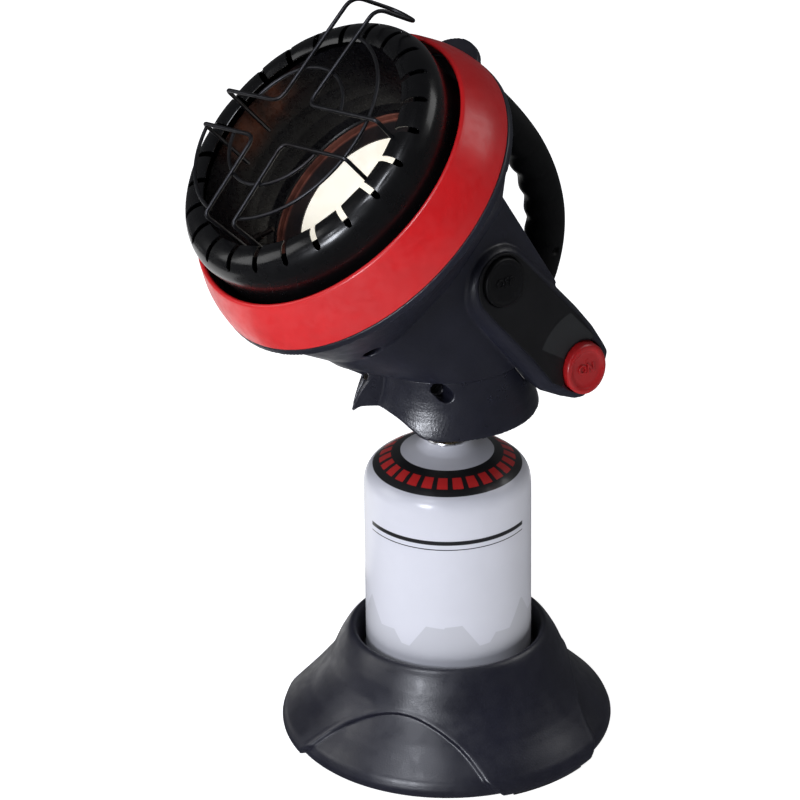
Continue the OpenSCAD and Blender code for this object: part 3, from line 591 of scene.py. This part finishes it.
def stand():
    outer = resample(fillet(stand_out, 2.2, 4, closed=False), 0.9)
    inner = resample(fillet(stand_in, 1.0, 3, closed=False), 5.0)
    prof = np.array(list(outer) + list(inner))
    n_out = len(outer)
    n = 840
    ang = np.arange(n) * 2 * math.pi / n
    r = np.repeat(prof[:, 0][:, None], n, 1)
    z = np.repeat(prof[:, 1][:, None], n, 1)
    line = arch_line()
    seg_a, seg_b = line[:-1], line[1:]
    depth = np.zeros_like(r)
    for a0 in (-52, 68, 188):
        d = (ang - math.radians(a0) + math.pi) % (2 * math.pi) - math.pi
        near = np.abs(d) < math.radians(60)
        cols = np.where(near)[0]
        t = r[:n_out, cols] * np.sin(d[cols])[None, :]
        zz = z[:n_out, cols]
        p = np.stack([t.ravel(), zz.ravel()], 1)
        best = np.full(len(p), 1e9)
        for k in range(0, len(seg_a)):
            ab = seg_b[k] - seg_a[k]
            u = np.clip(((p - seg_a[k]) @ ab) / (ab @ ab), 0, 1)
            q = seg_a[k] + u[:, None] * ab
            best = np.minimum(best, np.hypot(*(p - q).T))
        roof = np.interp(p[:, 0], line[:, 0], line[:, 1], left=-50, right=-50)
        inside = p[:, 1] < roof
        sd = np.where(inside, best, -best)
        s = np.clip((sd + 0.35) / 2.7, 0, 1)
        s = s * s * (3 - 2 * s)
        # a slim raised lip just outside the step
        lip = 0.16 * np.exp(-((sd + 1.3) / 0.9) ** 2)
        fade = np.clip((zz.ravel() - 1.0) / 3.0, 0, 1)
        depth[:n_out, cols] = np.maximum(depth[:n_out, cols], (3.3 * s).reshape(t.shape))
        depth[:n_out, cols] -= (lip * fade * (s < 0.5)).reshape(t.shape)
    # the lip never stands outside the foot's own radius
    r2 = np.minimum(r - depth, 112.2)
    # the recess is cut into the outer face only; the inner face stays as it is
    verts = np.stack([r2 * np.cos(ang), r2 * np.sin(ang), z], 2).reshape(-1, 3)
    parts = [(verts, grid_faces(len(prof), n, wrap_rows=True))]
    rib = fillet([(56, 52.5), (60.5, 69), (62, 70.6), (70.2, 60.4), (74.3, 48), (86.4, 30), (98.5, 18), (103.6, 12), (96, 8), (70, 30)], 1.0, 2)
    for a in (8, 128, 248):
        c, s = math.cos(math.radians(a)), math.sin(math.radians(a))
        vs, fs, k = [], [], len(rib)
        for side, grow in ((-1.25, 0.4), (-0.95, 0.0), (0.95, 0.0), (1.25, 0.4)):
            mid = np.mean(rib, 0)
            for q in rib:
                w = np.array(q) - unit(np.array(q) - mid) * grow
                vs.append((w[0] * c - side * s, w[0] * s + side * c, w[1]))
        for i in range(3):
            fs += [(i * k + j, i * k + (j + 1) % k, (i + 1) * k + (j + 1) % k, (i + 1) * k + j) for j in range(k)]
        fs += [tuple(range(k))[::-1], tuple(3 * k + j for j in range(k))]
        parts.append((vs, fs))
    v, f = merge(parts)
    return finish_piece(build("stand_shell", v, f, "base", BASE, ("base_stand",), weld=1e-6, angle=60), "stand")


stand()

# ------------------------------------------------------------------ canister
can_out = [(0.02, 66), (20, 64), (38, 59), (45, 56.2), (48, 55.2), (51, 55), (53.6, 56), (54.8, 58), (55, 61), (55, 179.5), (54.6, 183.5),
           (53.6, 187), (52, 189.8), (50, 191.9), (46, 195), (41, 198.2), (36.5, 200.4), (32, 202), (26, 203.8), (20, 206), (16.6, 208.6), (14.6, 210.8),
           (14.2, 211.6), (13.2, 211.6)]
can_in = [(13.2, 210.9), (15.8, 208.2), (19.6, 205.3), (25.8, 203), (31.7, 201.2), (36.1, 199.7), (40.6, 197.5), (45.6, 194.3), (49.4, 191.4),
          (51.4, 189.2), (52.9, 186.6), (53.8, 183.4), (54.2, 179.5), (54.2, 61.4), (54, 58.6), (52.9, 56.9), (51, 56), (48.4, 56.2), (45.3, 57),
          (38.3, 59.8), (20, 64.8), (0.02, 66.8)]
outer = resample(fillet(can_out, 1.6, 4, closed=False), 2.5)
o = revolve("canister_body", list(outer) + list(fillet(can_in, 1.0, 2, closed=False)), "canister", 256, stands_for=("canister_shell",), angle=50)
finish_piece(o, "canister")

# ------------------------------------------------------------------ red ring
bezel = [(113.4, 0), (113.4, 1.5), (112.9, 5), (112.3, 9), (111.4, 13), (110.1, 17.5), (108.3, 22), (106, 27), (104.4, 30.6), (103.3, 32.5),
         (101.9, 33.2), (100.7, 32.8), (100.1, 31.4), (101.2, 30.2), (103.2, 26), (105.5, 21), (107.3, 16), (108.6, 11), (109.5, 6), (110, 1.4), (110, 0)]
bezel_soft = [0.5, 0.9, 2, 2, 2.2, 2.4, 2.4, 2.4, 1.6, 1.0, 0.8, 0.8, 0.7, 0.6, 2, 2.4, 2.4, 2.4, 2.4, 0.5, 0.4]
o = revolve("bezel", fillet(bezel, bezel_soft, 5), "head", 320, HEAD, stands_for=("bezel_ring",), angle=50)
finish_piece(o, "bezel")


# ------------------------------------------------------------------ front crown with its slots
def crown():
    c, w, rr, n_slot, half = 82.5, 48.0, 14.0, 24, 2.1
    wall = [(88, -2.1), (93.6, -2.1), (94.5, -1.2), (94.5, 30), (95.3, 40)]
    wall = resample(fillet(wall, [0, 0.8, 0.8, 6, 4], 3, closed=False), 3.0)
    roll = [(c + (rr - 0.5) * math.cos(math.radians(a)), w + (rr - 0.5) * math.sin(math.radians(a))) for a in np.arange(0, 117.1, 3)]
    # extra rows where the slot's round end is
    rows = [tuple(p) for p in wall[:-1]] + roll
    extra = [93.4, 93.3, 93.1, 92.8, 92.4, 91.9, 91.3]
    out = []
    for a, b in zip(rows[:-1], rows[1:]):
        out.append(a)
        if b[1] > 50:
            for e in extra:
                if a[0] > e > b[0]:
                    k = (a[0] - e) / (a[0] - b[0])
                    ang = math.atan2(a[1] + (b[1] - a[1]) * k - w, e - c)
                    h = w + math.sqrt(max((rr - 0.5) ** 2 - (e - c) ** 2, 0))
                    out.append((e, h))
    out.append(rows[-1])
    prof = out
    m = 20
    vs, fs = [], []
    for i in range(n_slot):
        base = len(vs)
        for r, z in prof:
            on_top = z > 50
            if on_top and r < 93.4:
                gap = half if r <= 91.3 else math.sqrt(max(half ** 2 - (r - 91.3) ** 2, 0))
            else:
                gap = 0
            g = math.asin(gap / r)
            for j in range(m + 1):
                u = j / m
                # more columns close to the slot, so its edge stays crisp
                u = 0.5 - 0.5 * math.cos(math.pi * u) if on_top else u
                a = math.radians(360 / n_slot * i + 0.6) + g + (2 * math.pi / n_slot - 2 * g) * u
                # tabs sit very slightly proud in the middle of each, as pressed
                puff = 0.25 * math.sin(math.pi * u) * (1 if on_top and r < 90.4 else 0)
                vs.append((r * math.cos(a), r * math.sin(a), z + puff))
        k = m + 1
        for a in range(len(prof) - 1):
            for j in range(m):
                fs.append((base + a * k + j, base + a * k + j + 1, base + (a + 1) * k + j + 1, base + (a + 1) * k + j))
    o = build("crown", vs, fs, "head", HEAD, ("front_crown",), weld=2e-5)
    # normals outward, then a sheet one millimetre thick
    s = o.modifiers.new("sheet", "SOLIDIFY")
    s.thickness = 1.0 * MM
    s.offset = 0
    s.use_even_offset = True
    b = o.modifiers.new("edge", "BEVEL")
    b.width = 0.28 * MM
    b.segments = 2
    b.limit_method = "ANGLE"
    b.angle_limit = math.radians(50)
    dg = bpy.context.evaluated_depsgraph_get()
    new = bpy.data.meshes.new_from_object(o.evaluated_get(dg))
    o.modifiers.clear()
    o.data = new
    o.data.shade_smooth()
    o.data.set_sharp_from_angle(angle=math.radians(60))
    return finish_piece(o, "crown")


crown()


# ------------------------------------------------------------------ guard wires
def corners(p, r, s):
    return fillet([tuple(q) for q in p], r, s, closed=False)


GZ = 79.8
wires = [
    ([(-71, -2.6, 36), (-72, -2.4, GZ), (-19.6, 11.2, GZ), (-34.4, 91.5, GZ), (-30.4, 104.2, 49.3), (-4.4, 104.9, 49.3), (-6.2, 93, GZ),
      (6.4, 19.4, GZ), (71, 35.6, GZ), (68.4, 34.6, 36)], [0, 4, 9, 9, 11, 11, 8, 8, 4, 0]),
    ([(-64.6, -27.4, 36), (-67.2, -28, GZ), (-15.6, -15.4, GZ), (-0.6, -73, GZ), (-0.6, -70.6, 36)], [0, 4, 8, 4, 0]),
    ([(70.6, 5.6, 36), (72.4, 5.8, GZ), (12.6, -9, GZ), (28.2, -67.4, GZ), (27, -65.4, 36)], [0, 4, 7, 4, 0]),
]
parts = []
for pts, rs in wires:
    parts.append(rounded_wire(corners(pts, rs, 12), 1.35))
v, f = merge(parts)
finish_piece(build("guard_wires", v, f, "head", HEAD, ("guard_cross_wires",), weld=0), "guard")


def arc_wire(r, a0, a1, z, rad, cx, cy):
    pts = [(cx + r * math.cos(math.radians(a)), cy + r * math.sin(math.radians(a)), z) for a in np.linspace(a0, a1, int(abs(a1 - a0) * r / 90) + 4)]
    return rounded_wire(pts, rad, n0=(0, 0, 1))


RING_Z, RING_R = GZ - 2.3625, 1.215
v, f = merge([arc_wire(43.7, 36, 173, RING_Z, RING_R, -0.6, 1.1), arc_wire(43.7, 210, 354, RING_Z, RING_R, -0.6, 1.1)])
finish_piece(build("guard_ring_small", v, f, "head", HEAD, ("guard_inner_ring",), weld=0), "guard")
v, f = merge([arc_wire(70.2, -66, 92, RING_Z, RING_R, -2, 2), arc_wire(70.2, 204, 269, RING_Z, RING_R, -2, 2)])
finish_piece(build("guard_ring_large", v, f, "head", HEAD, ("guard_outer_ring",), weld=0), "guard")

# ------------------------------------------------------------------ casing, hood and panel
for side in ("right", "left"):
    o = cad_copy("casing_" + side, ["housing_" + side], "head", voxel=0.95, rounds=7)
    finish_piece(o, "casing")
    o = cad_copy("hood_shell_" + side, ["hood_" + side], "head", voxel=0.7, rounds=6)
    finish_piece(o, "hood")
o = cad_copy("panel", ["control_panel"], "head", voxel=0.45, rounds=7)
finish_piece(o, "panel")


# ------------------------------------------------------------------ handle
def cr(a, b, c, d, t):
    return 0.5 * ((2 * b) + (c - a) * t + (2 * a - 5 * b + 4 * c - d) * t * t + (3 * b - a - 3 * c + d) * t * t * t)


def smooth_path(p, s):
    p = [np.array(q, float) for q in p]
    out = []
    for i in range(len(p) - 1):
        for k in range(s):
            out.append(cr(p[max(i - 1, 0)], p[i], p[i + 1], p[min(i + 2, len(p) - 1)], k / s))
    return out + [p[-1]]


GRIP = smooth_path([(0, 98, -16), (0, 99, -30), (0, 98.4, -52), (0, 95.4, -74.6), (0, 88.6, -96.9), (0, 78, -117), (0, 64.4, -132.6), (0, 49, -144),
                    (0, 36, -150), (0, 24, -153)], 20)


def grip():
    g0, g1 = 7, len(GRIP) - 14
    path = [np.array(q) for q in GRIP[g0:g1 + 1]]
    m = len(path)
    count = 64

    def ring(i, a):
        c, s = math.cos(a), math.sin(a)
        u = (i + g0 - 32) / 100
        on = min(1.0, max(0.0, min(u, 1 - u) * 20 + 0.5))
        wave = math.cos(2 * math.pi * 6 * min(max(u, 0), 1))
        wave = 1 + (wave - 1) * on
        inner = max(0.0, -c) ** 0.8
        # finger scallops inside, each with a soft crease that runs round the flanks
        crease = math.exp(-((wave + 1) / 0.10) ** 2)
        ru = 13.2 if c > 0 else 12.3 + 1.05 * wave * inner
        rv = 13.0 - 0.35 * crease * (1 - max(0.0, c)) - 0.25 * (1 - wave) * 0.5 * inner
        end = min(1.0, i / 3.0)
        k = 0.965 + 0.035 * math.sqrt(1 - (1 - end) ** 2)
        # the screw recess low on the outer flank
        d = math.hypot(path[i][1] + ru * c * NORMALS[i][1] - 61.1, path[i][2] + ru * c * NORMALS[i][2] + 138.3)
        pit = 2.6 * (1 - min(1.0, max(0.0, (d - 1.7) / 0.9))) if s * SIDE > 0.6 else 0.0
        return k * ru * c, (k * rv - pit) * s

    NORMALS = frames_along(path, (0, 1, 0))[2]
    SIDE = 1 if np.cross(frames_along(path, (0, 1, 0))[1][0], NORMALS[0])[0] > 0 else -1
    v = sweep(path, ring, (0, 1, 0), count)
    inner_v = sweep(path, lambda i, a: (9.05 * math.cos(a), 9.05 * math.sin(a)), (0, 1, 0), count)
    f = grid_faces(m, count)
    off = len(v)
    f += [tuple(k + off for k in q[::-1]) for q in grid_faces(m, count)]
    for j in range(count):
        k = (j + 1) % count
        f.append((j, j + off, k + off, k))
        b = (m - 1) * count
        f.append((b + j, b + k, b + k + off, b + j + off))
    return finish_piece(build("grip", list(v) + list(inner_v), f, "head", HEAD, ("handle_grip",), angle=70), "grip")


grip()
o = cad_copy("handle_core", ["handle_loop"], "head", voxel=0.8, rounds=5)
finish_piece(o, "core")


# ------------------------------------------------------------------ buttons
def button_frame(v, w):
    """Frame on a button's axis: z runs out of the side, y is up the letters and x along them."""
    c = HEAD @ Vector((0, v * MM, w * MM))
    t = math.radians(7.3)
    x, y, z = Vector((0, math.cos(t), math.sin(t))), Vector((0, -math.sin(t), math.cos(t))), Vector((1, 0, 0))
    return Matrix(((x.x, y.x, z.x, c.x), (x.y, y.y, z.y, c.y), (x.z, y.z, z.z, c.z), (0, 0, 0, 1)))


LEAN = math.tan(math.radians(13.4))


def lean(x, y, z):
    """Height of a point once the cap's top follows the leaning face of the pod."""
    k = min(1.0, max(0.0, (z - 57.2) / 1.2))
    return z - k * LEAN * (x * math.cos(math.radians(33.7)) + y * math.sin(math.radians(33.7)))


def cap(name, profile, soft, body, place, node, n=144):
    prof = resample(fillet(profile, soft, 5), 1.6, closed=True)
    verts = []
    for p in prof:
        for j in range(n):
            a = 2 * math.pi * j / n
            x, y = p[0] * math.cos(a), p[0] * math.sin(a)
            verts.append((x, y, lean(x, y, p[1])))
    return build(name, verts, grid_faces(len(prof), n, wrap_rows=True), body, place, (node,), angle=50)


def letters(name, text, size, place, z0, height, body, key, turn=0.0):
    cu = bpy.data.curves.new(name, "FONT")
    cu.body = text
    cu.size = size * MM
    cu.align_x = "CENTER"
    cu.align_y = "CENTER"
    cu.extrude = height * MM
    cu.bevel_depth = 0.12 * MM
    cu.bevel_resolution = 2
    cu.space_character = 1.06
    tmp = bpy.data.objects.new(name + "_t", cu)
    bpy.context.scene.collection.objects.link(tmp)
    dg = bpy.context.evaluated_depsgraph_get()
    dg.update()
    me = bpy.data.meshes.new_from_object(tmp.evaluated_get(dg))
    bpy.data.objects.remove(tmp)
    for q in me.vertices:
        x, y, z = (c / MM for c in q.co)
        x, y = x * math.cos(turn) - y * math.sin(turn), x * math.sin(turn) + y * math.cos(turn)
        q.co = (x * MM, y * MM, lean(x, y, z + z0) * MM)
    me.transform(place)
    bm = bmesh.new()
    bm.from_mesh(me)
    bmesh.ops.remove_doubles(bm, verts=bm.verts, dist=1e-6)
    bm.to_mesh(me)
    bm.free()
    o = bpy.data.objects.new(name, me)
    bpy.context.scene.collection.objects.link(o)
    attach(o, body)
    return finish_piece(o, key)


ON = button_frame(15.6, -180)
OFF = button_frame(19.6, -85.6)
T = 64.6
on_prof = [(11, 44), (16.4, 44), (16.4, T - 2.6), (16.2, T - 1.2), (15.3, T - 0.25), (14.1, T), (12.9, T - 0.3), (11.9, T - 1.0), (10.4, T - 1.5),
           (6, T - 1.7), (0.02, T - 1.7), (0.02, 56), (11, 56)]
o = cap("on_cap", on_prof, [0.3, 0.4, 1.0, 0.9, 0.9, 0.9, 0.9, 0.9, 0.9, 1.0, 0, 0, 0.4], "on_button", ON, "on_button")
finish_piece(o, "on")
letters("on_letters", "ON", 8.2, ON, T - 1.6, 0.75, "on_button", "on", math.radians(-10))
T = 61.4
off_prof = [(12, 46.4), (16.9, 46.4), (16.9, 49.4), (15.5, 49.4), (15.5, T - 1.3), (15.25, T - 0.4), (14.4, T), (13.3, T - 0.1), (12.3, T - 0.55),
            (11.2, T - 0.8), (6, T - 0.9), (0.02, T - 0.9), (0.02, 57), (12, 57)]
o = cap("off_cap", off_prof, [0.3, 0.4, 0.4, 0.2, 0.7, 0.7, 0.7, 0.7, 0.7, 0.7, 1, 0, 0, 0.4], "off_button", OFF, "off_button")
finish_piece(o, "off")
letters("off_letters", "OFF", 7.6, OFF, T - 0.8, 0.7, "off_button", "off", math.radians(-8))

# ------------------------------------------------------------------ camera, lights and floor
cam_data = bpy.data.cameras.new("camera")
cam = bpy.data.objects.new("camera", cam_data)
bpy.context.scene.collection.objects.link(cam)
bpy.context.scene.camera = cam
a, e, roll, dist = math.radians(60.419), math.radians(26.288), math.radians(0.409), 2.850366
back = Vector((math.sin(a) * math.cos(e), -math.cos(a) * math.cos(e), math.sin(e)))
right = Vector((math.cos(a), math.sin(a), 0))
up = back.cross(right)
R = math.cos(roll) * right - math.sin(roll) * up
U = math.sin(roll) * right + math.cos(roll) * up
C = Vector((0, AXIS_Y * MM, 0.25)) + back * dist
cam.matrix_world = Matrix(((R.x, U.x, back.x, C.x), (R.y, U.y, back.y, C.y), (R.z, U.z, back.z, C.z), (0, 0, 0, 1)))
cam_data.lens = 197.84
cam_data.sensor_width = 36
cam_data.shift_x = (400 - 446.80) / 800
cam_data.shift_y = (383.79 - 400) / 800
cam_data.clip_start = 0.05
cam_data.clip_end = 50


def area(name, az, el, distance, size, power, colour=(1, 1, 1), target=(0, 0.0, 0.26), size_y=None):
    """A softbox at a bearing seen from the object; azimuth is measured as for the camera."""
    a, e = math.radians(az), math.radians(el)
    d = Vector((math.sin(a) * math.cos(e), -math.cos(a) * math.cos(e), math.sin(e)))
    li = bpy.data.lights.new(name, "AREA")
    li.shape = "RECTANGLE" if size_y else "SQUARE"
    li.size = size
    if size_y:
        li.size_y = size_y
    li.energy = power
    li.color = colour
    o = bpy.data.objects.new(name, li)
    bpy.context.scene.collection.objects.link(o)
    o.location = Vector(target) + d * distance
    o.rotation_mode = "QUATERNION"
    o.rotation_quaternion = (-d).to_track_quat("-Z", "Y")
    return o


area("key", 31, 17, 2.0, 0.45, 21, (0.89, 0.92, 1.0))
area("top", 24, 57, 1.9, 0.45, 12, (0.89, 0.92, 1.0))
area("rim", 165, 42, 2.0, 0.9, 5)
area("fill", -30, 22, 2.2, 1.1, 7)


def table_glow(name, x, y, sx, sy, power):
    """A lit patch of the translucent table, under the floor and facing up."""
    li = bpy.data.lights.new(name, "AREA")
    li.shape = "RECTANGLE"
    li.size, li.size_y, li.energy = sx, sy, power
    o = bpy.data.objects.new(name, li)
    bpy.context.scene.collection.objects.link(o)
    o.location = (x, y, -0.03)
    o.rotation_euler = (math.pi, 0, 0)
    return o


table_glow("glow", -0.68, -0.05, 0.8, 1.2, 2.7)

world = bpy.data.worlds.new("studio")
bpy.context.scene.world = world
world.use_nodes = True
bg = world.node_tree.nodes["Background"]
bg.inputs[0].default_value = (0.93, 0.95, 1.0, 1)
bg.inputs[1].default_value = 0.07

verts = [(-6, -6, 0), (6, -6, 0), (6, 6, 0), (-6, 6, 0)]
me = bpy.data.meshes.new("floor")
me.from_pydata(verts, [], [(0, 1, 2, 3)])
floor = bpy.data.objects.new("floor", me)
bpy.context.scene.collection.objects.link(floor)
floor.location.z = -0.0002
floor.visible_glossy = False
floor.visible_shadow = False
fm = Mat("floor_white")
fm.colour(fm.mix(fm.ramp(fm.noise(3, 2.0), 0.3, 0.7, 0, 1), (0.93, 0.93, 0.94), (0.95, 0.95, 0.955)))
fm.rough(0.8)
fm.set(Specular_IOR_Level=0.1)
fm.set(Emission_Color=(1, 1, 1, 1), Emission_Strength=0.90)
floor.data.materials.append(fm.m)

# white sweep behind the table's edge, seen by the camera only
ring = [(6 * math.cos(math.radians(t)) * 1.4142, 6 * math.sin(math.radians(t)) * 1.4142) for t in (45, 135, 225, 315)]
verts = [(x, y, 0.0) for x, y in ring] + [(x, y, 5.0) for x, y in ring]
me = bpy.data.meshes.new("sweep")
me.from_pydata(verts, [], [(i, (i + 1) % 4, 4 + (i + 1) % 4, 4 + i) for i in range(4)])
sweep = bpy.data.objects.new("sweep", me)
bpy.context.scene.collection.objects.link(sweep)
for flag in ("visible_glossy", "visible_shadow", "visible_diffuse", "visible_transmission"):
    setattr(sweep, flag, False)
sm = Mat("sweep_white")
sm.colour(sm.mix(sm.ramp(sm.noise(3, 2.0), 0.3, 0.7, 0, 1), (0.93, 0.93, 0.94), (0.95, 0.95, 0.955)))
sm.rough(0.8)
sm.set(Specular_IOR_Level=0.1)
sm.set(Emission_Color=(1, 1, 1, 1), Emission_Strength=1.0)
sweep.data.materials.append(sm.m)

bpy.context.scene.view_settings.view_transform = "Standard"
